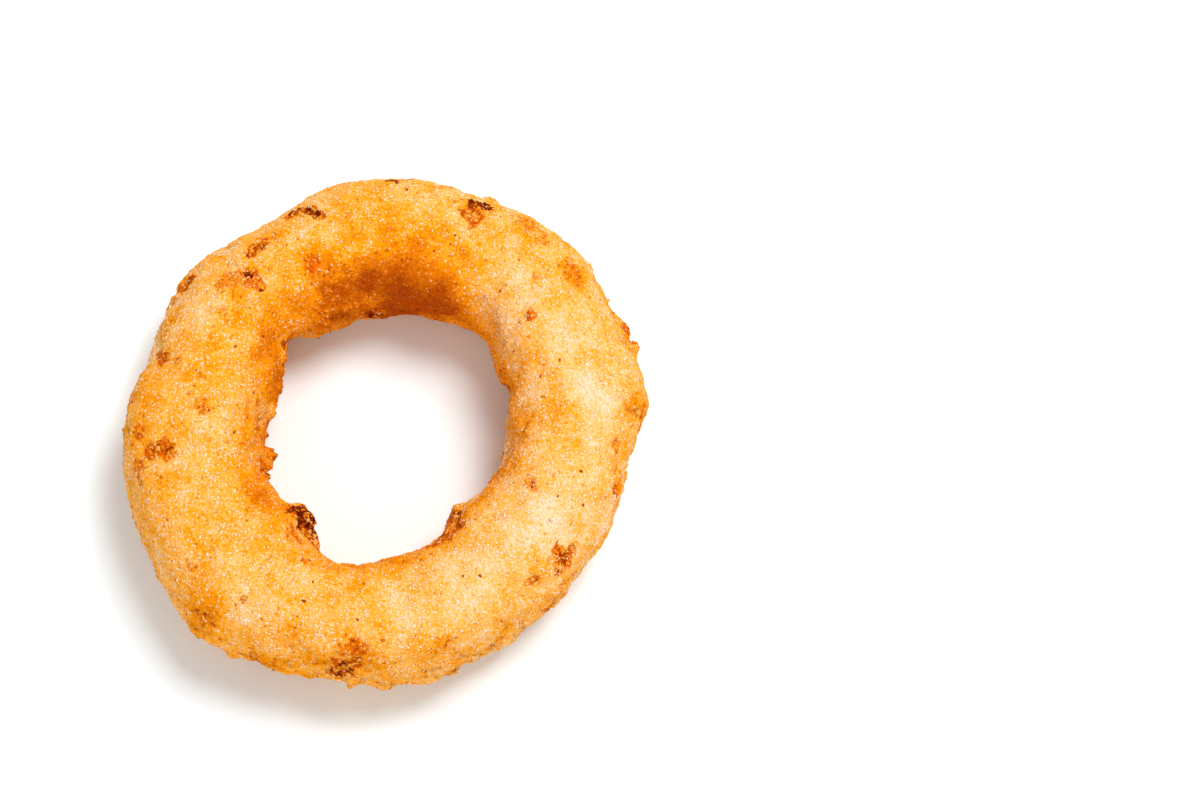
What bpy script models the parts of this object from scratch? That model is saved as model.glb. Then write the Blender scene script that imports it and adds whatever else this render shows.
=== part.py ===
"""One fried onion ring in a fine crumb coating, lying flat on its underside.

Units are metres and +Z is up. The origin is the middle of the underside of the bounding box.
A turn is an angle round the ring in degrees, from +X towards +Y. A lean is an angle round the
ring's section in degrees: 0 faces outwards, 90 faces up, 180 faces the hole and 270 faces down.
"""

import math

import bmesh
import bpy
from mathutils import Vector, noise

MM = 0.001

# Driving sizes of the smooth form under the crumb coating
OUTER_RADIUS = 35.3 * MM
HOLE_RADIUS = 17.3 * MM
HEIGHT = 19.4 * MM
SECTION_FULLNESS = 2.15
UNDERSIDE_FULLNESS = 2.25
UNDERSIDE_CUT = 0.8 * MM

# The ring is oval: how far each edge swings out and in, and the turn at which it is widest
OUTER_OVAL = 1.45 * MM
OUTER_OVAL_TURN = 52
HOLE_OVAL = 1.0 * MM
HOLE_OVAL_TURN = 65
BAND_SHIFT = 0.7 * MM
BAND_SHIFT_TURN = 160

# Swells along an edge or the crown: turn, spread in degrees, and how far the surface moves out
OUTER_SWELLS = (
    (9, 11, 1.5 * MM),
    (42, 14, 0.8 * MM),
    (61, 8, 0.7 * MM),
    (75, 7, -0.7 * MM),
    (88, 18, 1.1 * MM),
    (107, 7, 0.5 * MM),
    (120, 8, -0.9 * MM),
    (143, 8, 0.6 * MM),
    (162, 9, -1.5 * MM),
    (206, 16, -0.8 * MM),
    (229, 9, 0.5 * MM),
    (258, 22, -1.6 * MM),
    (301, 9, -0.8 * MM),
    (350, 8, -0.3 * MM),
)
HOLE_SWELLS = (
    (20, 8, 1.0 * MM),
    (46, 13, 2.1 * MM),
    (78, 14, 0.7 * MM),
    (133, 10, 3.4 * MM),
    (188, 10, -0.8 * MM),
    (225, 10, -1.6 * MM),
    (255, 12, 1.0 * MM),
    (310, 16, -1.8 * MM),
)
CROWN_SWELLS = (
    (20, 20, 0.5 * MM),
    (60, 12, -0.6 * MM),
    (95, 15, -0.4 * MM),
    (122, 8, -0.7 * MM),
    (195, 20, 0.4 * MM),
    (235, 14, -0.5 * MM),
    (275, 7, -0.6 * MM),
    (325, 22, 0.8 * MM),
)

# Crags, where the crust has burst: turn, lean, width and depth of the torn hollow
CRAGS = (
    (184, 48, 4.2 * MM, 0.8 * MM),
    (133, 66, 6.4 * MM, 0.8 * MM),
    (124, 46, 3.6 * MM, 0.7 * MM),
    (112, 22, 4.4 * MM, 0.8 * MM),
    (88, 8, 3.6 * MM, 0.6 * MM),
    (69, 26, 4.4 * MM, 0.9 * MM),
    (114, 92, 3.2 * MM, 0.5 * MM),
    (168, 88, 4.6 * MM, 0.5 * MM),
    (305, 152, 4.6 * MM, 0.9 * MM),
    (324, 58, 4.2 * MM, 0.9 * MM),
    (316, 66, 2.8 * MM, 0.5 * MM),
    (261, 30, 4.8 * MM, 0.9 * MM),
    (39, 80, 2.8 * MM, 0.5 * MM),
    (25, 18, 4.4 * MM, 0.6 * MM),
    (355, 32, 4.4 * MM, 0.6 * MM),
    (214, 48, 2.8 * MM, 0.5 * MM),
    (60, 328, 4.6 * MM, 0.8 * MM),
    (150, 318, 4.2 * MM, 0.8 * MM),
    (240, 322, 4.6 * MM, 0.7 * MM),
    (335, 330, 4.0 * MM, 0.8 * MM),
    (20, 205, 4.0 * MM, 0.7 * MM),
    (100, 192, 4.4 * MM, 0.7 * MM),
    (200, 212, 3.8 * MM, 0.6 * MM),
)

# Knots of crust that stand out of the form: turn, lean, width and height
KNOTS = (
    (226, 166, 4.6 * MM, 1.6 * MM),
    (234, 172, 5.6 * MM, 1.6 * MM),
    (192, 183, 3.4 * MM, 1.9 * MM),
    (158, 186, 3.4 * MM, 0.6 * MM),
    (308, 168, 3.8 * MM, 0.9 * MM),
    (21, 5, 6.0 * MM, 1.6 * MM),
    (5, 2, 5.0 * MM, 1.0 * MM),
    (262, 6, 4.0 * MM, 0.7 * MM),
    (228, 352, 3.6 * MM, 0.6 * MM),
    (302, 356, 3.0 * MM, 0.6 * MM),
    (42, 8, 3.4 * MM, 0.6 * MM),
    (165, 2, 3.0 * MM, 0.5 * MM),
)

# Relief of the coating: the size of a lump or crumb cluster, and how far it stands out
LUMP_SIZE = 7.5 * MM
LUMP_RELIEF = 0.45 * MM
CLUSTER_SIZE = 2.6 * MM
CLUSTER_RELIEF = 0.3 * MM
TORN_SIZE = 1.5 * MM

# Inside a crag: how deep its floor lies and how rough it is, as shares of the crag's depth
CRAG_SINK = 0.8
TORN_RELIEF = 0.45

# Faces round the ring and round its section
TURNS = 120
LEANS = 40

CRUST_COLOUR = (0.76, 0.36, 0.07, 1.0)
CRUST_ROUGHNESS = 0.7


def clear_scene():
    for obj in list(bpy.data.objects):
        bpy.data.objects.remove(obj)


def swell_at(turn, swells):
    """The sum of the swells in a table at one turn, each a smooth bell that dies out past its spread."""
    total = 0.0
    for centre, spread, amount in swells:
        apart = (turn - centre + 180) % 360 - 180
        total += amount * math.exp(-((apart / spread) ** 2))
    return total


def outer_radius(turn):
    oval = OUTER_OVAL * math.cos(math.radians(2 * (turn - OUTER_OVAL_TURN)))
    shift = BAND_SHIFT * math.cos(math.radians(turn - BAND_SHIFT_TURN))
    return OUTER_RADIUS + oval + shift + swell_at(turn, OUTER_SWELLS)


def hole_radius(turn):
    oval = HOLE_OVAL * math.cos(math.radians(2 * (turn - HOLE_OVAL_TURN)))
    return HOLE_RADIUS + oval + swell_at(turn, HOLE_SWELLS)


def rounded(value, fullness):
    """A sine or cosine pushed outwards, so that the section is fuller than an ellipse."""
    return math.copysign(abs(value) ** (2 / fullness), value)


def form_point(turn, lean):
    """A point on the smooth form, before any relief."""
    outer, hole = outer_radius(turn), hole_radius(turn)
    across, upwards = math.cos(math.radians(lean)), math.sin(math.radians(lean))
    fullness = SECTION_FULLNESS if upwards >= 0 else UNDERSIDE_FULLNESS
    half_height = HEIGHT / 2 + (swell_at(turn, CROWN_SWELLS) if upwards >= 0 else 0)
    radius = (outer + hole) / 2 + (outer - hole) / 2 * rounded(across, fullness)
    height = HEIGHT / 2 + half_height * rounded(upwards, fullness)
    angle = math.radians(turn)
    return Vector((radius * math.cos(angle), radius * math.sin(angle), height))


def form_normal(turn, lean):
    """The outward direction at a point of the form, from its neighbours half a degree away."""
    step = 0.5
    along = form_point(turn + step, lean) - form_point(turn - step, lean)
    over = form_point(turn, lean + step) - form_point(turn, lean - step)
    return along.cross(over).normalized()


def bump(distance, width):
    """1 at the middle of a feature and 0 beyond its width, with no edge."""
    share = 2 * distance / width
    return (1 - share * share) ** 2 if share < 1 else 0.0


def torn_relief(point):
    """Broken crust inside a crag, as a share of the crag's depth."""
    return TORN_RELIEF * (2 * noise.noise(point / TORN_SIZE) + noise.noise(point / TORN_SIZE * 2))


def relief_at(point, crags, knots):
    """How far the finished surface stands out from the form at a point."""
    relief = LUMP_RELIEF * 2 * noise.noise(point / LUMP_SIZE)
    relief += CLUSTER_RELIEF * 2 * noise.noise(point / CLUSTER_SIZE)
    for centre, width, depth in crags:
        inside = bump((point - centre).length, width)
        if inside > 0:
            relief += inside * depth * (torn_relief(point) - CRAG_SINK)
    for centre, width, height in knots:
        relief += height * bump((point - centre).length, width)
    return relief


def placed(features):
    """A table of features with each turn and lean turned into a point on the form."""
    return [(form_point(turn, lean), width, amount) for turn, lean, width, amount in features]


def ring_points():
    """The finished surface as rows of points: one row for each turn, one point for each lean."""
    crags, knots = placed(CRAGS), placed(KNOTS)
    rows = []
    for i in range(TURNS):
        row = []
        for j in range(LEANS):
            turn, lean = 360 * i / TURNS, 360 * j / LEANS
            point = form_point(turn, lean)
            row.append(point + form_normal(turn, lean) * relief_at(point, crags, knots))
        rows.append(row)
    return rows


def set_down(rows):
    """Flattens the underside where the ring rests, and moves the ring onto the origin."""
    points = [point for row in rows for point in row]
    for point in points:
        point.z = max(point.z, UNDERSIDE_CUT) - UNDERSIDE_CUT
    for axis in (0, 1):
        middle = (max(p[axis] for p in points) + min(p[axis] for p in points)) / 2
        for point in points:
            point[axis] -= middle


def ring_mesh(name):
    """A closed grid of faces through the rows of points, joined end to end both ways."""
    rows = ring_points()
    set_down(rows)
    bm = bmesh.new()
    grid = [[bm.verts.new(point) for point in row] for row in rows]
    for i in range(TURNS):
        here, after = grid[i], grid[(i + 1) % TURNS]
        for j in range(LEANS):
            k = (j + 1) % LEANS
            bm.faces.new((here[j], after[j], after[k], here[k]))
    bmesh.ops.triangulate(bm, faces=bm.faces, quad_method="SHORT_EDGE")
    mesh = bpy.data.meshes.new(name)
    bm.to_mesh(mesh)
    bm.free()
    mesh.shade_smooth()
    return mesh


def crust_material():
    material = bpy.data.materials.new("crust")
    material.use_nodes = True
    shader = material.node_tree.nodes["Principled BSDF"]
    shader.inputs["Base Color"].default_value = CRUST_COLOUR
    shader.inputs["Roughness"].default_value = CRUST_ROUGHNESS
    shader.inputs["Metallic"].default_value = 0.0
    return material


def add_onion_ring():
    mesh = ring_mesh("onion_ring")
    mesh.materials.append(crust_material())
    ring = bpy.data.objects.new("onion_ring", mesh)
    bpy.context.scene.collection.objects.link(ring)
    return ring


clear_scene()
add_onion_ring()
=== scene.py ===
"""Looks of a fried onion ring: its crumb crust, loose grains, soft studio light and the camera.

Lengths are metres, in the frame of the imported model. A turn is an angle round the ring in degrees,
from +X towards +Y. A lean is an angle round its section: 0 faces outwards, 90 up, 180 the hole and
270 down. A place on the shown side is a pixel of the 1200 x 800 photograph, found on the crust
through the camera. A place on a hidden side is a turn and a lean.
"""

import math

import bpy
import numpy as np
from mathutils import Matrix, Vector, noise
from mathutils.bvhtree import BVHTree


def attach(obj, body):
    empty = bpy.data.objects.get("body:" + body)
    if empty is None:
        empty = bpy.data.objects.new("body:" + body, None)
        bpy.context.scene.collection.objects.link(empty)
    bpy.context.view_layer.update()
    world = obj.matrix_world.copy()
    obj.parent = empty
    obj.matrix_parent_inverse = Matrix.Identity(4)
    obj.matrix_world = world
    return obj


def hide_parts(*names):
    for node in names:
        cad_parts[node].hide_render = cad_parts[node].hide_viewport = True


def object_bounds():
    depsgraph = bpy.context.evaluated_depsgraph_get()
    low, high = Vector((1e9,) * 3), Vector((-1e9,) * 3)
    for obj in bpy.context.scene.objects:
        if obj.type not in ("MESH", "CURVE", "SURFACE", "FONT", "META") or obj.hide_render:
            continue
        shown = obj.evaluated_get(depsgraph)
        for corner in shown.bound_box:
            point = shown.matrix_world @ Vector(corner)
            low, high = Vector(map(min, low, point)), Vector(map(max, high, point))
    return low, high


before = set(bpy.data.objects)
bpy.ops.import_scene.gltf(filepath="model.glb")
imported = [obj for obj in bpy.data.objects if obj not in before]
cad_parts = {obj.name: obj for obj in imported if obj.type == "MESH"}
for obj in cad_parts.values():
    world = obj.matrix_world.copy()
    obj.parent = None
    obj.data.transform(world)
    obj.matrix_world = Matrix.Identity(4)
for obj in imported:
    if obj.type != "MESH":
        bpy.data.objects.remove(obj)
cad_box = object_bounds()

MM = 0.001

# The photograph's frame, the ring's middle and width in it, and the ring's real width
PHOTO_WIDTH = 1200
PHOTO_HEIGHT = 800
RING_X = 388.5
RING_Y = 426.5
RING_PIXELS = 525
RING_WIDTH = 72.4 * MM

# The camera looks along +Y and down on the ring, from this many degrees above the horizon
CAMERA_ELEVATION = 74
CAMERA_DISTANCE = 0.46
SENSOR = 36
CLIP_START = 10 * MM

# Millimetres along a ray that passes beside the ring, from where the nearest surface is sought
BESIDE_STEPS = range(-14, 15, 2)

# Points of the crust round the ring and round its section
TURNS = 520
LEANS = 182

# Points over which the facets of the CAD form are rounded off
FACET_BLUR = 4

# Relief of the crust: the size of a feature and how far it stands out
CLUSTER_SIZE = 2.3 * MM
CLUSTER_RELIEF = 0.12 * MM
PEBBLE_SIZE = 1.15 * MM
PEBBLE_RELIEF = 0.085 * MM
GRIT_SIZE = 0.6 * MM
GRIT_RELIEF = 0.035 * MM
CHIP_SIZE = 1.9 * MM
CHIP_RELIEF = 1.15 * MM
TORN_SIZE = 1.1 * MM
TORN_RELIEF = 0.32 * MM

# How many lumps the noise is moved along each axis, for a seed of 1
NOISE_SHIFTS = (1, 2.3, 3.7)

# How far the heights of the chips are spread, and the factor that sets neighbours apart
CHIP_SPREAD = 0.9
CHIP_SHUFFLE = 7.3

# Uneven outlines: the size of their waves and how strong these are, for crags and char, and for knots
OUTLINE_SIZE = 1.6 * MM
OUTLINE_UNEVENNESS = 0.45
KNOT_OUTLINE_SIZE = 1.5 * MM
KNOT_UNEVENNESS = 0.25

# How far a mark reaches for its given width, and how much of it is filled evenly
CRAG_REACH = 1.25
CRAG_FILL = 1.5
CHAR_REACH = 1.6
CHAR_FILL = 2.2
RAGGED_REACH = 1.3

# How crumbly an upright wall is, and how much and over what size that swings
WALL_RAGGEDNESS = 0.5
RAGGED_SWING = 0.6
RAGGED_SIZE = 12 * MM

# Crags, where the crust has burst: x, y, width, depth, and how brown it is from 0 to 1
CRAGS = (
    (229, 279, 5.0 * MM, 0.30 * MM, 0.38),
    (241, 273, 4.4 * MM, 0.25 * MM, 0.40),
    (252, 279, 3.8 * MM, 0.35 * MM, 0.48),
    (259, 286, 3.0 * MM, 0.30 * MM, 0.48),
    (251, 251, 2.8 * MM, 0.30 * MM, 0.75),
    (258, 246, 3.0 * MM, 0.35 * MM, 0.80),
    (266, 241, 2.4 * MM, 0.25 * MM, 0.70),
    (292, 214, 3.0 * MM, 0.35 * MM, 0.85),
    (309, 210, 3.0 * MM, 0.40 * MM, 0.80),
    (318, 214, 2.4 * MM, 0.30 * MM, 0.70),
    (474, 210, 3.4 * MM, 0.30 * MM, 0.75),
    (474, 219, 3.2 * MM, 0.20 * MM, 0.60),
    (312, 265, 3.4 * MM, 0.18 * MM, 0.54),
    (190, 278, 2.4 * MM, 0.25 * MM, 0.70),
    (181, 287, 2.6 * MM, 0.20 * MM, 0.65),
    (174, 297, 2.4 * MM, 0.15 * MM, 0.55),
    (164, 358, 3.2 * MM, 0.25 * MM, 0.52),
    (178, 360, 1.8 * MM, 0.25 * MM, 0.52),
    (199, 375, 1.6 * MM, 0.18 * MM, 0.42),
    (203, 403, 2.8 * MM, 0.20 * MM, 0.40),
    (188, 393, 1.4 * MM, 0.15 * MM, 0.40),
    (137, 432, 3.4 * MM, 0.15 * MM, 0.50),
    (149, 451, 3.8 * MM, 0.35 * MM, 0.55),
    (163, 447, 3.4 * MM, 0.30 * MM, 0.58),
    (137, 466, 4.6 * MM, 0.10 * MM, 0.38),
    (300, 516, 3.6 * MM, 0.20 * MM, 1.00),
    (306, 528, 3.8 * MM, 0.20 * MM, 0.75),
    (312, 540, 4.4 * MM, 0.15 * MM, 0.90),
    (293, 534, 4.2 * MM, 0.15 * MM, 0.40),
    (452, 517, 3.0 * MM, 0.25 * MM, 0.90),
    (448, 530, 4.4 * MM, 0.35 * MM, 0.66),
    (438, 540, 3.4 * MM, 0.25 * MM, 0.58),
    (563, 558, 3.8 * MM, 0.45 * MM, 0.72),
    (560, 569, 3.0 * MM, 0.30 * MM, 0.64),
    (571, 552, 2.6 * MM, 0.20 * MM, 0.45),
    (536, 581, 3.2 * MM, 0.20 * MM, 0.42),
    (564, 585, 1.8 * MM, 0.15 * MM, 0.45),
    (342, 668, 3.4 * MM, 0.40 * MM, 0.80),
    (356, 664, 3.4 * MM, 0.35 * MM, 0.80),
    (355, 650, 4.6 * MM, 0.15 * MM, 0.50),
    (441, 645, 3.2 * MM, 0.10 * MM, 0.36),
    (574, 272, 5.0 * MM, 0.12 * MM, 0.34),
    (536, 276, 1.8 * MM, 0.12 * MM, 0.40),
    (624, 331, 5.0 * MM, 0.20 * MM, 0.60),
    (641, 414, 4.6 * MM, 0.15 * MM, 0.42),
    (616, 442, 2.4 * MM, 0.20 * MM, 0.45),
    (613, 488, 2.8 * MM, 0.20 * MM, 0.45),
    (531, 483, 2.2 * MM, 0.18 * MM, 0.44),
    (531, 315, 2.4 * MM, 0.18 * MM, 0.50),
    (284, 344, 2.0 * MM, 0.20 * MM, 0.75),
    (377, 314, 1.8 * MM, 0.20 * MM, 0.80),
    (192, 568, 2.4 * MM, 0.15 * MM, 0.36),
    (196, 611, 2.4 * MM, 0.15 * MM, 0.40),
    (242, 600, 1.8 * MM, 0.12 * MM, 0.42),
    (304, 561, 1.8 * MM, 0.10 * MM, 0.50),
    (224, 311, 2.2 * MM, 0.10 * MM, 0.32),
    (262, 466, 3.6 * MM, 0.10 * MM, 0.42),
    (530, 226, 3.4 * MM, 0.12 * MM, 0.36),
    (543, 241, 3.0 * MM, 0.12 * MM, 0.34),
)

# Charred spots in the crags: x, y, width, and how burnt, where 1 is burnt through
CHARRED = (
    (244, 272, 1.0 * MM, 0.45),
    (248, 274, 1.0 * MM, 0.5),
    (262, 289, 0.8 * MM, 0.35),
    (256, 243, 1.0 * MM, 0.5),
    (247, 255, 0.7 * MM, 0.5),
    (290, 214, 1.2 * MM, 0.5),
    (295, 209, 1.2 * MM, 0.5),
    (305, 207, 1.1 * MM, 0.7),
    (310, 209, 1.2 * MM, 0.8),
    (315, 213, 1.1 * MM, 0.7),
    (472, 204, 1.1 * MM, 0.7),
    (479, 202, 1.9 * MM, 1.0),
    (485, 207, 1.0 * MM, 0.7),
    (159, 443, 0.9 * MM, 0.5),
    (169, 448, 0.9 * MM, 0.6),
    (176, 358, 0.6 * MM, 0.5),
    (296, 511, 1.7 * MM, 1.0),
    (301, 516, 2.1 * MM, 1.1),
    (307, 523, 2.1 * MM, 1.1),
    (312, 532, 1.4 * MM, 0.9),
    (389, 182, 1.4 * MM, 0.6),
    (398, 182, 1.3 * MM, 0.55),
    (452, 515, 1.5 * MM, 0.9),
    (457, 513, 1.2 * MM, 0.7),
    (563, 557, 1.2 * MM, 0.45),
    (566, 561, 0.9 * MM, 0.3),
    (334, 669, 1.2 * MM, 0.7),
    (341, 668, 1.4 * MM, 0.7),
    (349, 667, 1.3 * MM, 0.7),
    (358, 664, 1.0 * MM, 0.4),
    (284, 345, 1.3 * MM, 1.0),
    (377, 315, 1.3 * MM, 1.0),
    (537, 581, 0.6 * MM, 0.3),
)

# Crags on the hidden sides and on the outline: turn, lean, width, depth, brownness
HIDDEN_CRAGS = (
    (86, 22, 2.6 * MM, 0.25 * MM, 0.85),
    (90, 21, 2.2 * MM, 0.20 * MM, 0.80),
    (60, 328, 4.6 * MM, 0.30 * MM, 0.60),
    (150, 318, 4.2 * MM, 0.35 * MM, 0.75),
    (240, 322, 4.6 * MM, 0.25 * MM, 0.55),
    (335, 330, 4.0 * MM, 0.30 * MM, 0.85),
    (20, 205, 4.0 * MM, 0.30 * MM, 0.60),
    (100, 192, 4.4 * MM, 0.25 * MM, 0.60),
    (200, 212, 3.8 * MM, 0.25 * MM, 0.70),
    (12, 344, 2.6 * MM, 0.20 * MM, 0.50),
    (98, 336, 3.0 * MM, 0.20 * MM, 0.60),
    (121, 350, 2.4 * MM, 0.15 * MM, 0.50),
    (192, 334, 3.4 * MM, 0.25 * MM, 0.60),
    (283, 340, 2.8 * MM, 0.20 * MM, 0.50),
    (310, 346, 2.2 * MM, 0.15 * MM, 0.60),
    (275, 205, 3.0 * MM, 0.20 * MM, 0.50),
    (330, 200, 2.4 * MM, 0.15 * MM, 0.50),
)

# Soft patches in the tone of the crust: x, y, width, and paler (+) or browner (-). Some are the crust's
# own paler and browner patches, and many are painted light and shade: painted shade darkens the far wall
# of the hole, and painted light lifts places that lie in shade, such as the hole's right wall
TONE_AND_LIGHT_PATCHES = (
    (568, 505, 21 * MM, 0.25),
    (600, 400, 16 * MM, 0.20),
    (480, 580, 18 * MM, 0.22),
    (568, 325, 13 * MM, 0.07),
    (418, 612, 15 * MM, 0.15),
    (520, 250, 14 * MM, 0.07),
    (180, 452, 12 * MM, 0.15),
    (184, 425, 6 * MM, -0.10),
    (205, 312, 9 * MM, 0.14),
    (166, 322, 7 * MM, -0.12),
    (238, 304, 9 * MM, -0.09),
    (290, 590, 14 * MM, 0.10),
    (400, 205, 12 * MM, 0.02),
    (150, 440, 9 * MM, -0.05),
    (205, 390, 9 * MM, -0.06),
    (270, 345, 10 * MM, -0.16),
    (310, 265, 9 * MM, -0.14),
    (320, 300, 12 * MM, -0.10),
    (262, 520, 9 * MM, -0.10),
    (205, 612, 12 * MM, -0.17),
    (160, 540, 8 * MM, -0.08),
    (365, 664, 11 * MM, -0.16),
    (440, 645, 6 * MM, -0.07),
    (290, 668, 16 * MM, -0.12),
    (475, 210, 7 * MM, -0.12),
    (575, 272, 7 * MM, -0.16),
    (613, 302, 8 * MM, -0.13),
    (274, 240, 7 * MM, -0.13),
    (284, 276, 8 * MM, -0.20),
    (508, 646, 9 * MM, 0.11),
    (450, 669, 8 * MM, 0.10),
    (560, 415, 8 * MM, -0.12),
    (642, 428, 9 * MM, -0.20),
    (635, 400, 7 * MM, -0.14),
    (620, 490, 6 * MM, -0.12),
    (340, 596, 9 * MM, -0.04),
    # Painted shade on the far wall of the hole
    (410, 288, 27 * MM, -0.42),
    (395, 312, 14 * MM, -0.28),
    (335, 302, 17 * MM, -0.16),
    (503, 314, 14 * MM, 0.14),
    (240, 586, 17 * MM, 0.08),
    (168, 380, 12 * MM, 0.05),
    (545, 512, 14 * MM, 0.10),
    (540, 560, 18 * MM, 0.10),
    (290, 380, 10 * MM, -0.12),
    (280, 450, 10 * MM, -0.12),
    (505, 358, 13 * MM, 0.18),
    # Painted light on the hole's right wall, which lies in shade
    (501, 446, 12 * MM, 0.24),
    (506, 497, 10 * MM, 0.10),
    (198, 425, 11 * MM, 0.12),
    (268, 500, 13 * MM, -0.20),
    (226, 358, 9 * MM, -0.10),
    (555, 300, 24 * MM, 0.08),
    (312, 232, 8 * MM, 0.08),
    (612, 495, 5 * MM, 0.12),
    (603, 530, 6 * MM, 0.16),
    # Painted light on the hole's right wall, which lies in shade
    (504, 456, 9 * MM, 0.42),
    (265, 413, 6 * MM, 0.28),
    (529, 390, 11 * MM, 0.17),
    (408, 650, 10 * MM, -0.13),
    (243, 301, 7 * MM, -0.14),
    (474, 302, 9 * MM, 0.16),
    (573, 413, 6 * MM, -0.10),
    (199, 479, 8 * MM, -0.11),
    (254, 258, 8 * MM, -0.13),
    (485, 611, 8 * MM, -0.10),
    (573, 308, 14 * MM, -0.12),
    (551, 479, 7 * MM, -0.08),
    (595, 457, 8 * MM, 0.12),
    (485, 655, 8 * MM, 0.13),
    (397, 679, 7 * MM, -0.14),
    (419, 633, 6 * MM, -0.12),
    (463, 327, 6 * MM, -0.13),
    (199, 413, 6 * MM, 0.14),
    (309, 657, 7 * MM, -0.14),
    (617, 479, 5 * MM, -0.11),
    (243, 326, 6 * MM, -0.12),
    (287, 567, 7 * MM, -0.11),
    (529, 369, 6 * MM, 0.12),
)

# Knots of crust along the outlines, and hollows where negative: turn, lean, width and height
KNOTS = (
    (192, 184, 3.0 * MM, 1.2 * MM),
    (200, 184, 4.0 * MM, 0.8 * MM),
    (226, 170, 3.6 * MM, 0.5 * MM),
    (233, 172, 5.4 * MM, 0.6 * MM),
    (71, 14, 4.4 * MM, -0.7 * MM),
    (66, 14, 3.0 * MM, 0.5 * MM),
    (239, 170, 3.6 * MM, 0.6 * MM),
    (158, 186, 3.0 * MM, 0.4 * MM),
    (172, 186, 2.6 * MM, 0.6 * MM),
    (127, 191, 7.0 * MM, -0.9 * MM),
    (141, 190, 4.0 * MM, 0.7 * MM),
    (308, 170, 3.0 * MM, 0.5 * MM),
    (23, 4, 5.0 * MM, 0.8 * MM),
    (18, 6, 3.6 * MM, 0.7 * MM),
    (5, 2, 4.6 * MM, 0.5 * MM),
    (213, 344, 2.0 * MM, 0.6 * MM),
    (236, 344, 2.8 * MM, 0.6 * MM),
    (262, 344, 2.2 * MM, 1.0 * MM),
)

# Places where the crust's edge is crumbly and uneven: x, y, width, strength
RAGGED_PLACES = (
    (640, 400, 11 * MM, 1.0),
    (630, 340, 9 * MM, 1.2),
    (615, 500, 9 * MM, 0.8),
    (575, 610, 12 * MM, 1.4),
    (520, 645, 12 * MM, 1.5),
    (450, 675, 12 * MM, 1.5),
    (390, 680, 12 * MM, 1.5),
    (330, 675, 11 * MM, 1.4),
    (260, 660, 11 * MM, 1.1),
    (200, 625, 10 * MM, 0.9),
    (150, 560, 10 * MM, 0.6),
    (285, 350, 8 * MM, 1.25),
    (272, 420, 8 * MM, 1.3),
    (270, 465, 8 * MM, 1.2),
    (305, 525, 8 * MM, 1.0),
    (330, 322, 8 * MM, 1.3),
    (512, 380, 6 * MM, 0.6),
    (500, 450, 6 * MM, 0.6),
    (182, 285, 7 * MM, 0.9),
    (150, 340, 9 * MM, 0.8),
    (480, 205, 7 * MM, 0.7),
    (505, 345, 6 * MM, 0.5),
)

# Pinholes, burnt dark: x and y
PINHOLES = (
    (434, 251), (402, 260), (427, 304), (402, 312), (435, 311), (366, 322), (519, 260), (500, 291),
    (541, 376), (514, 351), (234, 432), (581, 471), (463, 576), (480, 576), (502, 621), (475, 655),
    (391, 593), (466, 528), (313, 582), (364, 584), (304, 601), (294, 652), (558, 496), (253, 393),
    (196, 370), (209, 410), (263, 336), (341, 388), (236, 346), (583, 505), (352, 235), (407, 190),
    (358, 620), (421, 560), (168, 520), (226, 640), (300, 640), (560, 360), (600, 300), (455, 235),
)

# Colours of the crust and its grains
BURNT = (0.10, 0.010, 0.002, 1.0)
CHESTNUT = (0.27, 0.036, 0.002, 1.0)
BROWN = (0.40, 0.062, 0.002, 1.0)
RUST = (0.52, 0.060, 0.002, 1.0)
AMBER = (0.64, 0.157, 0.002, 1.0)
RUSSET = (0.74, 0.130, 0.002, 1.0)
ORANGE = (0.85, 0.285, 0.003, 1.0)
GOLD = (0.86, 0.380, 0.052, 1.0)
YELLOW = (0.86, 0.485, 0.185, 1.0)
CREAM = (0.87, 0.615, 0.430, 1.0)
# A pale crumb colour that is partly a painted glint on the tops of the crumbs
PALE_GRAIN_AND_GLINT = (0.91, 0.74, 0.56, 1.0)

# The colour at each tone of the crust, at each brownness of a crag and at each strength of char
TONE_STOPS = ((0.0, BROWN), (0.2, AMBER), (0.4, ORANGE), (0.58, GOLD), (0.78, YELLOW), (1.0, CREAM))
CRAG_STOPS = ((0.1, GOLD), (0.28, ORANGE), (0.46, RUSSET), (0.78, BROWN), (1.0, CHESTNUT))
CHAR_STOPS = ((0.5, CHESTNUT), (0.9, BURNT))

# Tone of the crust: its middle, how far it swings over wide and over small areas, and how uneven the
# outlines of its patches are
MIDDLE_TONE = 0.54
WIDE_TONE_SIZE = 9 * MM
WIDE_TONES = 0.06
SMALL_TONE_SIZE = 3.5 * MM
SMALL_TONES = 0.10
PATCH_UNEVENNESS = 0.3

# The wall of the hole is painted darker than the crown, partly as painted shade in the hole and partly as
# browner crust, and no tone goes below the darkest one
HOLE_SHADE_AND_BROWNING = 0.16
DARKEST_TONE = 0.0

# Mottle and speckle of the tone, their strength in the brownest crust, and the tones over which it grows
MOTTLE_SIZE = 1.8 * MM
MOTTLE_STRENGTH = 0.5
SPECKLE_SIZE = 0.36 * MM
SPECKLE_STRENGTH = 0.85
QUIETEST = 0.45
LIVELY_RANGE = (0.1, 0.5)

# Colour of the crags: their patches, their cracks, and the brownness over which each comes in
CRAG_PATCH_SIZE = 0.8 * MM
CRAG_PATCH_STRENGTH = 0.9
CRAG_RANGE = (0.08, 0.55)
CRACK_SIZE = 1.2 * MM
CRACK_TWIST = 0.8
CRACK_EDGE = 0.045
CRACK_CORE = 0.012
CRACKED_RANGE = (0.2, 0.45)

# Noise that breaks up the char, and the strength of char over which the noise and the colour come in
CHAR_BREAK_SIZE = 0.75 * MM
CHAR_BREAK_MIDDLE = 0.53
CHAR_BREAK_STRENGTH = 3.0
CHAR_BREAK_RANGE = (0.05, 0.35)
CHAR_RANGE = (0.25, 0.5)

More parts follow.
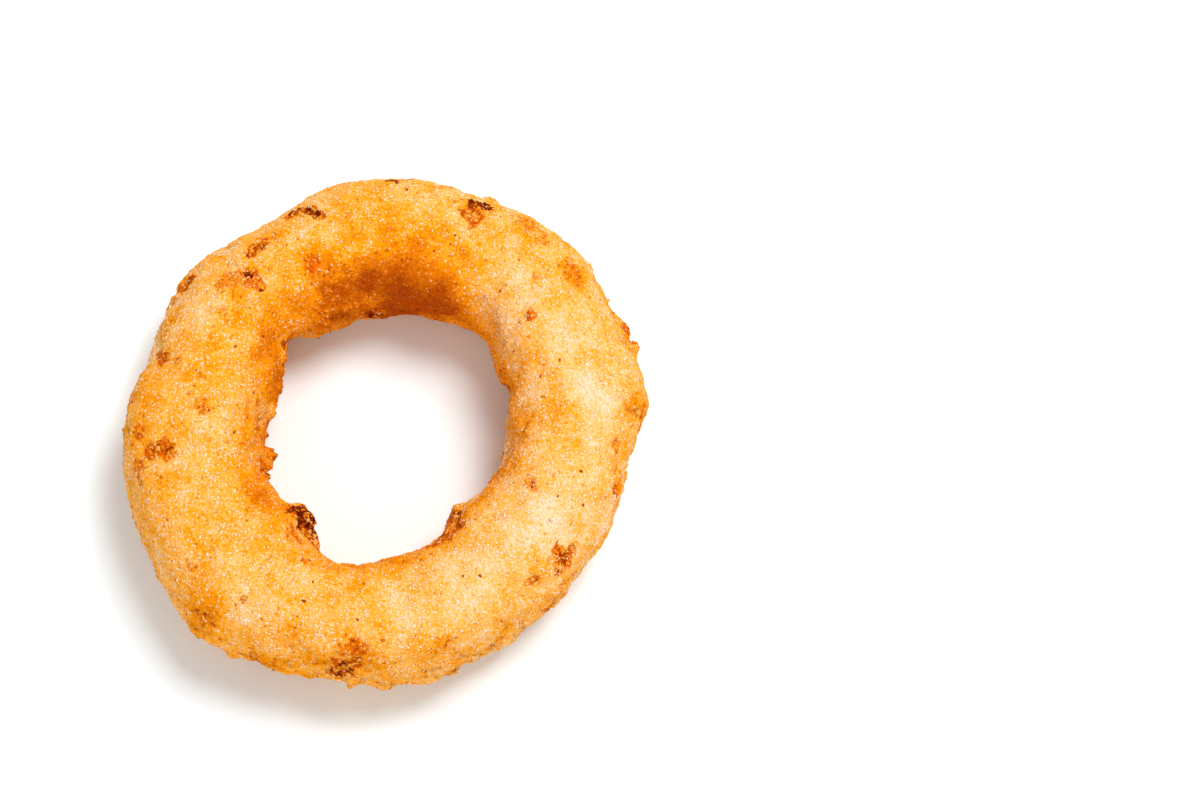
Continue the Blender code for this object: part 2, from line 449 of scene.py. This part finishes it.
# Bumps finer than the crust's mesh
BUMP_STRENGTH = 0.22
BUMP_DEPTH = 0.12 * MM
BUMP_SIZE = 0.4 * MM
BUMP_DETAIL = 3.0

# The colour sockets of a mix node, among those for its other kinds of data
MIX_COLOUR_INPUTS = (6, 7)
MIX_COLOUR_OUTPUT = 2

CRUST_ROUGHNESS = 0.6
GRAIN_ROUGHNESS = 0.35

# Specular levels of a matt surface and of a dry grain
MATT = 0.0
DRY = 0.05

# Loose grains: name, count, smallest, largest, the share sunk in the crust, change of tone, specular
# level, tint and strength of the tint
GRAIN_KINDS = (
    ("grains_golden", 19000, 0.36 * MM, 0.80 * MM, 0.64, 0.03, DRY, None, 0.0),
    # The pale grains' tint is partly a painted glint on the crumbs
    ("grains_pale_and_glint", 16500, 0.22 * MM, 0.46 * MM, 0.56, 0.18, 0.45, PALE_GRAIN_AND_GLINT, 0.50),
    ("grains_amber", 12000, 0.30 * MM, 0.55 * MM, 0.66, -0.10, DRY, ORANGE, 0.3),
)
GRAIN_SEED = 7
GRAIN_SIDES = 5

# Form of a grain: how far its corners lie from its middle, how long the longest is for its width, and
# how much it is pressed flat into the crust
GRAIN_LUMPINESS = (0.7, 1.2)
GRAIN_STRETCH = 1.9
GRAIN_FLATNESS = 0.55

# Tone of a grain: its random spread, which is smaller on brown crust, and how much browner it is in a crag
GRAIN_TONE_SPREAD = 0.16
GRAIN_SPREAD_BASE = 0.35
GRAIN_SPREAD_LEAST = 0.45
CRAG_GRAIN_BROWNING = 0.55

# Fewer grains lie in the crags and on the char, and fewer pale ones on brown, on steep and on downward
# crust, which gathers the pale grains' painted glints on the upward crust where the light falls
CRAG_THINNING = 0.6
CHAR_THINNING = 0.85
PALE_TONE_GAIN = 1.8
PALE_TONE_LEAST = 0.15
PALE_LEVEL_SHARE = 0.3
PALE_UPWARD_GAIN = 1.4
PALE_UPWARD_LEAST = 0.25

# The tones over which the tint of a grain comes in
TINT_RANGE = (0.2, 0.75)

# Toasted crumbs in the crags
CRUMB_COUNT = 1200
CRUMB_SIZES = (0.4 * MM, 0.9 * MM)
CRUMB_TONES = (0.1, 0.7)
CRUMB_SUNK = 0.6
CRUMB_SIDES = 6
CRUMB_CHAR_THINNING = 0.5

# More pinholes at random on the hidden walls: the leans of both walls and the outer wall's share
HIDDEN_PINHOLES = 60
OUTER_WALL = (-80, 0)
HOLE_WALL = (180, 230)
OUTER_WALL_SHARE = 0.6
PINHOLE_SEED = 3
PINHOLE_SIZES = (0.3 * MM, 0.5 * MM)
PINHOLE_SUNK = 0.4
PINHOLE_TINT = 0.7

# The triangle of a grain's face in its square of the UV map
CELL_TRIANGLE = ((0.2, 0.2), (0.8, 0.2), (0.5, 0.8))

# The studio floor, just below the ring, reaches this far each way
FLOOR_COLOUR = (0.86, 0.92, 0.94, 1.0)
FLOOR_ROUGHNESS = 0.9
FLOOR_REACH = 3.0
FLOOR_GAP = 0.02 * MM

# Soft lights: name, direction from the ring, distance, width and power
LIGHTS = (
    ("key", (0.36, 0.38, 1.0), 0.9, 0.4, 7.3),
    ("fill", (-0.20, -0.88, 0.42), 1.0, 0.5, 3.5),
)
WORLD_COLOUR = (1, 1, 1, 1)
WORLD_STRENGTH = 0.54


def camera_axes():
    """The camera's place, its forward, right and up directions, and its focal length in pixels."""
    low, high = cad_box
    middle = (low + high) / 2
    pixel = RING_WIDTH / RING_PIXELS
    angle = math.radians(CAMERA_ELEVATION)
    back = Vector((0, -math.cos(angle), math.sin(angle)))
    right = Vector((1, 0, 0))
    up = back.cross(right)
    sideways = (RING_X - PHOTO_WIDTH / 2) * pixel / CAMERA_DISTANCE
    upwards = (PHOTO_HEIGHT / 2 - RING_Y) * pixel / CAMERA_DISTANCE
    forward = (-back - right * sideways - up * upwards).normalized()
    place = middle + back * CAMERA_DISTANCE
    right = forward.cross(up).normalized()
    up = right.cross(forward)
    focal_pixels = CAMERA_DISTANCE / pixel * math.sqrt(1 + sideways ** 2 + upwards ** 2)
    return place, forward, right, up, focal_pixels


def add_camera():
    place, forward, right, up, focal_pixels = camera_axes()
    data = bpy.data.cameras.new("camera")
    data.sensor_width = SENSOR
    data.lens = focal_pixels / PHOTO_WIDTH * SENSOR
    data.clip_start = CLIP_START
    camera = bpy.data.objects.new("camera", data)
    camera.matrix_world = Matrix(
        (
            (right.x, up.x, -forward.x, place.x),
            (right.y, up.y, -forward.y, place.y),
            (right.z, up.z, -forward.z, place.z),
            (0, 0, 0, 1),
        )
    )
    bpy.context.scene.collection.objects.link(camera)
    bpy.context.scene.camera = camera


def surface_tree(node):
    """A search tree over the faces of a CAD node."""
    mesh = node.data
    return BVHTree.FromPolygons([v.co for v in mesh.vertices], [p.vertices for p in mesh.polygons])


def seen_place(tree, x, y):
    """The point of the surface that the photograph shows at a pixel, or the nearest one beside its edge."""
    place, forward, right, up, focal_pixels = camera_axes()
    sideways = right * ((x - PHOTO_WIDTH / 2) / focal_pixels)
    upwards = up * ((PHOTO_HEIGHT / 2 - y) / focal_pixels)
    ray = (forward + sideways + upwards).normalized()
    hit = tree.ray_cast(place, ray)[0]
    if hit is None:
        middle = (cad_box[0] + cad_box[1]) / 2
        reach = (middle - place).dot(ray)
        passed = [tree.find_nearest(place + ray * (reach + step * MM)) for step in BESIDE_STEPS]
        hit = min(passed, key=lambda found: found[3])[0]
    return hit


def section_middle(tree, turn):
    """The middle of the band's section at one turn, found from the hole and from outside."""
    outwards = Vector((math.cos(math.radians(turn)), math.sin(math.radians(turn)), 0))
    level = Vector((0, 0, (cad_box[0].z + cad_box[1].z) / 2))
    far = outwards * (cad_box[1] - cad_box[0]).length
    outer = tree.ray_cast(level + far, -outwards)[0]
    inner = tree.ray_cast(level, outwards)[0]
    return (outer + inner) / 2


def lean_direction(turn, lean):
    outwards = Vector((math.cos(math.radians(turn)), math.sin(math.radians(turn)), 0))
    return outwards * math.cos(math.radians(lean)) + Vector((0, 0, math.sin(math.radians(lean))))


def hidden_place(tree, turn, lean):
    return tree.ray_cast(section_middle(tree, turn), lean_direction(turn, lean))[0]


def blurred(values, reach):
    """Softens a grid of numbers that joins up with itself both ways."""
    for axis in (0, 1):
        total, weights = np.zeros_like(values), 0.0
        for step in range(-2 * reach, 2 * reach + 1):
            weight = math.exp(-((step / reach) ** 2))
            total += weight * np.roll(values, step, axis)
            weights += weight
        values = total / weights
    return values


def wrapped_grid(tree):
    """Points on the CAD surface in rows round the ring, with its facets rounded off."""
    middles, directions, reaches = [], [], []
    for i in range(TURNS):
        turn = 360 * i / TURNS
        middle = section_middle(tree, turn)
        for j in range(LEANS):
            direction = lean_direction(turn, 360 * j / LEANS)
            middles.append(middle)
            directions.append(direction)
            reaches.append((tree.ray_cast(middle, direction)[0] - middle).length)
    reaches = blurred(np.array(reaches).reshape(TURNS, LEANS), FACET_BLUR)
    middles = np.array(middles).reshape(TURNS, LEANS, 3)
    middles = np.stack([blurred(middles[:, :, axis], FACET_BLUR) for axis in range(3)], 2)
    points = middles + np.array(directions).reshape(TURNS, LEANS, 3) * reaches[:, :, None]
    points[:, :, 2] = np.maximum(points[:, :, 2], 0)
    return points


def grid_normals(points):
    along = np.roll(points, -1, 0) - np.roll(points, 1, 0)
    over = np.roll(points, -1, 1) - np.roll(points, 1, 1)
    normals = np.cross(along, over)
    return normals / np.linalg.norm(normals, axis=2, keepdims=True)


def noise_field(points, size, seed):
    """Smooth noise at each point, about -1 to 1, with lumps of one size."""
    offset = Vector([shift * seed for shift in NOISE_SHIFTS])
    found = [2 * noise.noise(Vector(p) / size + offset) for p in points.reshape(-1, 3)]
    return np.array(found).reshape(points.shape[:-1])


def pebble_field(points, size):
    """Rounded pebbles of one size, 1 on top of each and less between them."""
    found = [1 - noise.voronoi(Vector(p) / size)[0][0] for p in points.reshape(-1, 3)]
    return np.array(found).reshape(points.shape[:-1])


def chip_field(points, size):
    """Flat-topped chips of one size, each at a height of its own from about 0 to 1."""
    middles = [noise.voronoi(Vector(p) / size)[1][0] for p in points.reshape(-1, 3)]
    found = [0.5 + CHIP_SPREAD * noise.noise(middle * CHIP_SHUFFLE) for middle in middles]
    return np.clip(found, 0, 1).reshape(points.shape[:-1])


def bump(share):
    """1 in the middle of a feature and 0 from share 1 outwards, with no edge."""
    return np.where(share < 1, (1 - np.minimum(share, 1) ** 2) ** 2, 0)


def around(points, centre, width, uneven=0.0):
    """How strongly each point belongs to a feature of this width, with an uneven outline."""
    return bump(np.linalg.norm(points - np.array(centre), axis=-1) / (width / 2) * (1 + uneven))


def crag_fields(tree, points, uneven):
    """How torn, brown and deep the crags make each point."""
    torn, brown, depth = np.zeros((3, *points.shape[:2]))
    places = [(seen_place(tree, x, y), *rest) for x, y, *rest in CRAGS]
    places += [(hidden_place(tree, turn, lean), *rest) for turn, lean, *rest in HIDDEN_CRAGS]
    for centre, width, deep, browned in places:
        inside = around(points, centre, width * CRAG_REACH, uneven)
        torn = np.maximum(torn, inside)
        brown = np.maximum(brown, np.minimum(CRAG_FILL * inside, 1) * browned)
        depth = np.maximum(depth, inside * deep)
    return torn, brown, depth


def char_field(tree, points, uneven):
    char = np.zeros(points.shape[:2])
    for x, y, width, burnt in CHARRED:
        inside = around(points, seen_place(tree, x, y), width * CHAR_REACH, uneven)
        char = np.maximum(char, np.minimum(CHAR_FILL * inside, 1) * burnt)
    return char


def tone_field(tree, points, normals, uneven):
    """The crust's tone at each point outside the crags, from 0 for brown to 1 for cream, with painted shade
    and light in it.
    """
    flat = points[:, :, :2]
    facing_hole = -np.sum(normals[:, :, :2] * flat, 2) / np.linalg.norm(flat, axis=2)
    tone = MIDDLE_TONE + WIDE_TONES * noise_field(points, WIDE_TONE_SIZE, seed=5)
    tone = tone + SMALL_TONES * noise_field(points, SMALL_TONE_SIZE, seed=6)
    # Painted shade on the wall of the hole, partly a browner crust there
    tone -= HOLE_SHADE_AND_BROWNING * np.clip(facing_hole, 0, 1) ** 2
    # The patches paint light and shade as well as the crust's own paler and browner tone
    for x, y, width, change in TONE_AND_LIGHT_PATCHES:
        tone += change * around(points, seen_place(tree, x, y), width, PATCH_UNEVENNESS * uneven)
    return np.maximum(tone, DARKEST_TONE)


def ragged_field(tree, points, normals):
    """How crumbly the crust's edge is: somewhat on all upright walls, and more at the named places."""
    upright = 1 - np.abs(normals[:, :, 2])
    ragged = WALL_RAGGEDNESS * upright * (1 + RAGGED_SWING * noise_field(points, RAGGED_SIZE, seed=8))
    for x, y, width, strength in RAGGED_PLACES:
        inside = around(points, seen_place(tree, x, y), width * RAGGED_REACH)
        ragged = np.maximum(ragged, strength * inside)
    return ragged


def crust_relief(tree, points, torn, depth, ragged):
    """How far the crust stands out from the CAD form at each point."""
    relief = CLUSTER_RELIEF * noise_field(points, CLUSTER_SIZE, seed=1)
    relief += PEBBLE_RELIEF * (pebble_field(points, PEBBLE_SIZE) - 0.5)
    relief += GRIT_RELIEF * noise_field(points, GRIT_SIZE, seed=2)
    relief += CHIP_RELIEF * ragged * (chip_field(points, CHIP_SIZE) - 0.5)
    relief += torn * TORN_RELIEF * noise_field(points, TORN_SIZE, seed=3) - depth
    uneven = KNOT_UNEVENNESS * noise_field(points, KNOT_OUTLINE_SIZE, seed=4)
    raised, sunk = np.zeros_like(relief), np.zeros_like(relief)
    for turn, lean, width, height in KNOTS:
        knot = height * around(points, hidden_place(tree, turn, lean), width, uneven)
        raised = np.maximum(raised, knot)
        sunk = np.minimum(sunk, knot)
    return relief + raised + sunk


def grid_mesh(name, points, layers):
    """A closed mesh through the grid, with one number at each point for each named layer."""
    index = np.arange(TURNS * LEANS).reshape(TURNS, LEANS)
    after, over = np.roll(index, -1, 0), np.roll(index, -1, 1)
    faces = np.stack([index, after, np.roll(after, -1, 1), over], 2).reshape(-1, 4)
    mesh = bpy.data.meshes.new(name)
    mesh.from_pydata(points.reshape(-1, 3).tolist(), [], faces.tolist())
    for layer, values in layers.items():
        mesh.attributes.new(layer, "FLOAT", "POINT").data.foreach_set("value", values.ravel())
    turn, lean = np.meshgrid(np.arange(TURNS), np.arange(LEANS), indexing="ij")
    corners = [(turn, lean), (turn + 1, lean), (turn + 1, lean + 1), (turn, lean + 1)]
    uv = np.stack([np.stack([i / TURNS, j / LEANS], 2) for i, j in corners], 2)
    mesh.uv_layers.new(name="OFBake").uv.foreach_set("vector", uv.astype(np.float32).ravel())
    mesh.shade_smooth()
    return mesh


def new_material(name):
    material = bpy.data.materials.new(name)
    material.use_nodes = True
    return material, material.node_tree, material.node_tree.nodes["Principled BSDF"]


def add_node(tree, kind, **settings):
    node = tree.nodes.new(kind)
    for key, value in settings.items():
        setattr(node, key, value)
    return node


def maths(tree, operation, first, second):
    """A math node on two inputs, each a socket or a number."""
    node = add_node(tree, "ShaderNodeMath", operation=operation)
    for socket, value in zip(node.inputs, (first, second)):
        if isinstance(value, bpy.types.NodeSocket):
            tree.links.new(value, socket)
        else:
            socket.default_value = value
    return node.outputs[0]


def ramp(tree, factor, stops):
    node = add_node(tree, "ShaderNodeValToRGB")
    elements = node.color_ramp.elements
    while len(elements) < len(stops):
        elements.new(0.5)
    for element, (position, colour) in zip(elements, stops):
        element.position = position
        element.color = colour
    tree.links.new(factor, node.inputs["Fac"])
    return node.outputs["Color"]


def mixed(tree, factor, first, second):
    """A blend of two colours, each a socket or a fixed colour."""
    node = add_node(tree, "ShaderNodeMix", data_type="RGBA")
    tree.links.new(factor, node.inputs["Factor"])
    for number, value in zip(MIX_COLOUR_INPUTS, (first, second)):
        socket = node.inputs[number]
        if isinstance(value, bpy.types.NodeSocket):
            tree.links.new(value, socket)
        else:
            socket.default_value = value
    return node.outputs[MIX_COLOUR_OUTPUT]


def attribute(tree, name):
    return add_node(tree, "ShaderNodeAttribute", attribute_name=name).outputs["Fac"]


def noise_socket(tree, size, detail=2.0, distortion=0.0):
    """A noise texture fixed to the object, with features of one size."""
    place = add_node(tree, "ShaderNodeTexCoord").outputs["Object"]
    node = add_node(tree, "ShaderNodeTexNoise")
    tree.links.new(place, node.inputs["Vector"])
    node.inputs["Scale"].default_value = 1 / size
    node.inputs["Detail"].default_value = detail
    node.inputs["Distortion"].default_value = distortion
    return node.outputs["Fac"]


def swing(tree, size, strength, middle=0.5):
    """Noise of one size about 0: its distance from a middle value, times a strength."""
    apart = maths(tree, "SUBTRACT", noise_socket(tree, size), middle)
    return maths(tree, "MULTIPLY", apart, strength)


def smooth_step(tree, value, low, high):
    """0 below low and 1 above high, or the other way round if low is the larger."""
    node = add_node(tree, "ShaderNodeMapRange", interpolation_type="SMOOTHSTEP")
    tree.links.new(value, node.inputs["Value"])
    node.inputs["From Min"].default_value = low
    node.inputs["From Max"].default_value = high
    return node.outputs["Result"]


def mottled_tone(tree):
    """The crust's tone with mottle and speckle, which are quieter where the crust is brown."""
    tone = attribute(tree, "tone")
    mottle = maths(
        tree, "ADD", swing(tree, MOTTLE_SIZE, MOTTLE_STRENGTH), swing(tree, SPECKLE_SIZE, SPECKLE_STRENGTH)
    )
    lively = maths(tree, "MULTIPLY", smooth_step(tree, tone, *LIVELY_RANGE), 1 - QUIETEST)
    lively = maths(tree, "ADD", lively, QUIETEST)
    return maths(tree, "ADD", tone, maths(tree, "MULTIPLY", mottle, lively))


def broken_char(tree):
    """The char, broken up by noise where there is any."""
    char = attribute(tree, "char")
    broken = swing(tree, CHAR_BREAK_SIZE, CHAR_BREAK_STRENGTH, CHAR_BREAK_MIDDLE)
    broken = maths(tree, "MULTIPLY", broken, smooth_step(tree, char, *CHAR_BREAK_RANGE))
    return maths(tree, "ADD", char, broken)


def crust_material():
    material, tree, shader = new_material("crust")
    colour = ramp(tree, mottled_tone(tree), TONE_STOPS)
    brown = attribute(tree, "brown")
    crag_tone = maths(tree, "ADD", brown, swing(tree, CRAG_PATCH_SIZE, CRAG_PATCH_STRENGTH))
    crag = ramp(tree, crag_tone, CRAG_STOPS)
    colour = mixed(tree, smooth_step(tree, brown, *CRAG_RANGE), colour, crag)
    # Cracks in the crags, along the creases of folded noise
    crease = noise_socket(tree, CRACK_SIZE, distortion=CRACK_TWIST)
    fold = maths(tree, "ABSOLUTE", maths(tree, "SUBTRACT", crease, 0.5), 0.0)
    crack = smooth_step(tree, fold, CRACK_EDGE, CRACK_CORE)
    cracked = maths(tree, "MULTIPLY", crack, smooth_step(tree, brown, *CRACKED_RANGE))
    colour = mixed(tree, cracked, colour, BROWN)
    char = broken_char(tree)
    colour = mixed(tree, smooth_step(tree, char, *CHAR_RANGE), colour, ramp(tree, char, CHAR_STOPS))
    tree.links.new(colour, shader.inputs["Base Color"])
    shader.inputs["Roughness"].default_value = CRUST_ROUGHNESS
    shader.inputs["Specular IOR Level"].default_value = MATT
    bumps = add_node(tree, "ShaderNodeBump")
    bumps.inputs["Strength"].default_value = BUMP_STRENGTH
    bumps.inputs["Distance"].default_value = BUMP_DEPTH
    height = maths(tree, "SUBTRACT", noise_socket(tree, BUMP_SIZE, BUMP_DETAIL), cracked)
    tree.links.new(height, bumps.inputs["Height"])
    tree.links.new(bumps.outputs["Normal"], shader.inputs["Normal"])
    return material


def add_piece(name, mesh, material):
    mesh.materials.append(material)
    piece = bpy.data.objects.new(name, mesh)
    bpy.context.scene.collection.objects.link(piece)
    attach(piece, "root")
    return piece


def add_crust(tree):
    """The crust on the CAD form. Returns its points and fields, for the grains on it."""
    points = wrapped_grid(tree)
    normals = grid_normals(points)
    uneven = OUTLINE_UNEVENNESS * noise_field(points, OUTLINE_SIZE, seed=11)
    torn, brown, depth = crag_fields(tree, points, uneven)
    char = char_field(tree, points, uneven)
    tone = tone_field(tree, points, normals, uneven)
    ragged = ragged_field(tree, points, normals)
    points += normals * crust_relief(tree, points, torn, depth, ragged)[:, :, None]
    points[:, :, 2] = np.maximum(points[:, :, 2], 0)
    fields = {"tone": tone, "brown": brown, "char": char}
    mesh = grid_mesh("onion_ring_crust", points, fields)
    crust = add_piece("onion_ring_crust", mesh, crust_material())
    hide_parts("onion_ring")
    return points, fields


def grain_form(sides):
    """A double cone of this many sides: its corners and its triangles."""
    corners = [(0, 0, 1)]
    for k in range(sides):
        angle = 2 * math.pi * k / sides
        corners.append((math.cos(angle), math.sin(angle), 0))
    corners.append((0, 0, -1))
    faces = []
    for k in range(sides):
        here, after = k + 1, (k + 1) % sides + 1
        faces += [(0, here, after), (sides + 1, after, here)]
    return np.array(corners), np.array(faces)


def random_turns(rng, count):
    """As many random rotation matrices, from unit quaternions."""
    quaternions = rng.normal(size=(count, 4))
    w, x, y, z = (quaternions / np.linalg.norm(quaternions, axis=1, keepdims=True)).T
    rows = [
        [1 - 2 * (y * y + z * z), 2 * (x * y - w * z), 2 * (x * z + w * y)],
        [2 * (x * y + w * z), 1 - 2 * (x * x + z * z), 2 * (y * z - w * x)],
        [2 * (x * z - w * y), 2 * (y * z + w * x), 1 - 2 * (x * x + y * y)],
    ]
    return np.array(rows).transpose(2, 0, 1)


def scattered(rng, points, count, density):
    """Random spots on the crust: place, normal and grid cell, more where density is higher."""
    normals = grid_normals(points)
    along = np.roll(points, -1, 0) - points
    over = np.roll(points, -1, 1) - points
    area = np.linalg.norm(np.cross(along, over), axis=2)
    share = (area * density).ravel()
    cells = rng.choice(share.size, count, p=share / share.sum())
    i, j = np.unravel_index(cells, points.shape[:2])
    u, v = rng.random((2, count, 1))
    places = (
        points[i, j] * (1 - u) * (1 - v)
        + points[(i + 1) % TURNS, j] * u * (1 - v)
        + points[i, (j + 1) % LEANS] * (1 - u) * v
        + points[(i + 1) % TURNS, (j + 1) % LEANS] * u * v
    )
    return places, normals[i, j], (i, j)


def grains_mesh(name, rng, places, normals, sizes, sunk, tones, sides):
    """One small lumpy grain at each place, sunk into the crust by a share of its size."""
    corners, faces = grain_form(sides)
    count = len(places)
    shapes = corners[None] * rng.uniform(*GRAIN_LUMPINESS, (count, len(corners), 1))
    shapes[:, :, 0] *= rng.uniform(1, GRAIN_STRETCH, (count, 1))
    shapes = np.einsum("nij,nkj->nki", random_turns(rng, count), shapes)
    heights = np.einsum("nki,ni->nk", shapes, normals)
    shapes -= GRAIN_FLATNESS * heights[:, :, None] * normals[:, None, :]
    shapes *= sizes[:, None, None] / 2
    centres = places + normals * (sizes * (0.5 - sunk))[:, None]
    shapes += centres[:, None, :]
    # No grain reaches below the ring's underside
    standing = shapes[:, :, 2].min(1) >= 0
    shapes, tones = shapes[standing], tones[standing]
    count = len(shapes)
    starts = np.arange(count) * len(corners)
    mesh = bpy.data.meshes.new(name)
    triangles = (faces[None] + starts[:, None, None]).reshape(-1, 3)
    mesh.from_pydata(shapes.reshape(-1, 3).tolist(), [], triangles.tolist())
    values = np.repeat(tones, len(corners)).astype(np.float32)
    mesh.attributes.new("tone", "FLOAT", "POINT").data.foreach_set("value", values)
    add_grain_map(mesh, count, len(faces))
    mesh.shade_smooth()
    return mesh


def add_grain_map(mesh, count, faces_each):
    """A UV map on which each grain has a small square of its own."""
    across = math.ceil(math.sqrt(count))
    grain = np.arange(count)
    cell = np.stack([grain % across, grain // across], 1)
    uv = (cell[:, None, None, :] + np.array(CELL_TRIANGLE)[None, None]) / across
    uv = np.broadcast_to(uv, (count, faces_each, 3, 2))
    mesh.uv_layers.new(name="OFBake").uv.foreach_set("vector", uv.astype(np.float32).ravel())


def grain_material(name, specular, tint=None, strength=0.0):
    """Toned like the crust under the grain, and mixed with a tint if there is one."""
    material, tree, shader = new_material(name)
    tone = attribute(tree, "tone")
    colour = ramp(tree, tone, TONE_STOPS)
    if tint is not None:
        share = maths(tree, "MULTIPLY", smooth_step(tree, tone, *TINT_RANGE), strength)
        colour = mixed(tree, share, colour, tint)
    tree.links.new(colour, shader.inputs["Base Color"])
    shader.inputs["Roughness"].default_value = GRAIN_ROUGHNESS
    shader.inputs["Specular IOR Level"].default_value = specular
    return material


def add_grains(points, fields):
    """Loose grains all over the crust, and toasted crumbs in the crags."""
    rng = np.random.default_rng(GRAIN_SEED)
    tone, brown, char = fields["tone"], fields["brown"], fields["char"]
    plain = (1 - CRAG_THINNING * brown) * (1 - CHAR_THINNING * np.minimum(char, 1))
    upwards = grid_normals(points)[:, :, 2]
    # Pale grains, partly painted glints, gather on pale and upward crust where the light falls
    by_tone = np.clip(PALE_TONE_GAIN * tone, PALE_TONE_LEAST, 1)
    glint_by_slope = np.clip(PALE_LEVEL_SHARE + PALE_UPWARD_GAIN * upwards, PALE_UPWARD_LEAST, 1)
    for name, count, smallest, largest, sunk, change, specular, tint, strength in GRAIN_KINDS:
        density = plain * (by_tone * glint_by_slope) if name == "grains_pale_and_glint" else plain
        places, normals, cells = scattered(rng, points, count, density)
        sizes = rng.uniform(smallest, largest, count)
        tones = tone[cells] - CRAG_GRAIN_BROWNING * brown[cells] + change
        liveliness = np.clip(GRAIN_SPREAD_BASE + tone[cells], GRAIN_SPREAD_LEAST, 1)
        tones += rng.normal(0, GRAIN_TONE_SPREAD, count) * liveliness
        mesh = grains_mesh(name, rng, places, normals, sizes, sunk, tones, GRAIN_SIDES)
        add_piece(name, mesh, grain_material(name, specular, tint, strength))
    density = brown ** 2 * (1 - CRUMB_CHAR_THINNING * char)
    places, normals, cells = scattered(rng, points, CRUMB_COUNT, density)
    sizes = rng.uniform(*CRUMB_SIZES, CRUMB_COUNT)
    tones = rng.uniform(*CRUMB_TONES, CRUMB_COUNT)
    mesh = grains_mesh("crumbs_toasted", rng, places, normals, sizes, CRUMB_SUNK, tones, CRUMB_SIDES)
    add_piece("crumbs_toasted", mesh, grain_material("crumbs_toasted", DRY))


def add_pinholes(tree):
    """Burnt pinholes at the named places, and at random ones on the hidden walls."""
    rng = np.random.default_rng(PINHOLE_SEED)
    spots = [seen_place(tree, x, y) for x, y in PINHOLES]
    for _ in range(HIDDEN_PINHOLES):
        turn = rng.uniform(0, 360)
        leans = OUTER_WALL if rng.random() < OUTER_WALL_SHARE else HOLE_WALL
        spots.append(hidden_place(tree, turn, rng.uniform(*leans)))
    normals = np.array([tree.find_nearest(spot)[1] for spot in spots])
    sizes = rng.uniform(*PINHOLE_SIZES, len(spots))
    tones = np.zeros(len(spots))
    mesh = grains_mesh("pinholes", rng, np.array(spots), normals, sizes, PINHOLE_SUNK, tones, CRUMB_SIDES)
    add_piece("pinholes", mesh, grain_material("pinholes", MATT, RUST, PINHOLE_TINT))


def add_floor():
    mesh = bpy.data.meshes.new("floor")
    corners = [(-1, -1), (1, -1), (1, 1), (-1, 1)]
    mesh.from_pydata([(FLOOR_REACH * x, FLOOR_REACH * y, 0) for x, y in corners], [], [(0, 1, 2, 3)])
    material, _, shader = new_material("floor")
    shader.inputs["Base Color"].default_value = FLOOR_COLOUR
    shader.inputs["Roughness"].default_value = FLOOR_ROUGHNESS
    shader.inputs["Specular IOR Level"].default_value = MATT
    mesh.materials.append(material)
    floor = bpy.data.objects.new("floor", mesh)
    floor.location.z = -FLOOR_GAP
    bpy.context.scene.collection.objects.link(floor)


def add_light(name, direction, distance, size, power):
    """A soft square light that shines on the ring from a direction."""
    data = bpy.data.lights.new(name, "AREA")
    data.size = size
    data.energy = power
    light = bpy.data.objects.new(name, data)
    way = Vector(direction).normalized()
    light.location = way * distance
    light.rotation_mode = "QUATERNION"
    light.rotation_quaternion = way.to_track_quat("Z", "Y")
    bpy.context.scene.collection.objects.link(light)


def add_studio():
    add_floor()
    for name, direction, distance, size, power in LIGHTS:
        add_light(name, direction, distance, size, power)
    world = bpy.data.worlds.new("studio")
    world.use_nodes = True
    world.node_tree.nodes["Background"].inputs["Color"].default_value = WORLD_COLOUR
    world.node_tree.nodes["Background"].inputs["Strength"].default_value = WORLD_STRENGTH
    scene = bpy.context.scene
    scene.world = world
    scene.view_settings.view_transform = "Standard"


add_camera()
ring_tree = surface_tree(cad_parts["onion_ring"])
crust_points, crust_layers = add_crust(ring_tree)
add_grains(crust_points, crust_layers)
add_pinholes(ring_tree)
add_studio()
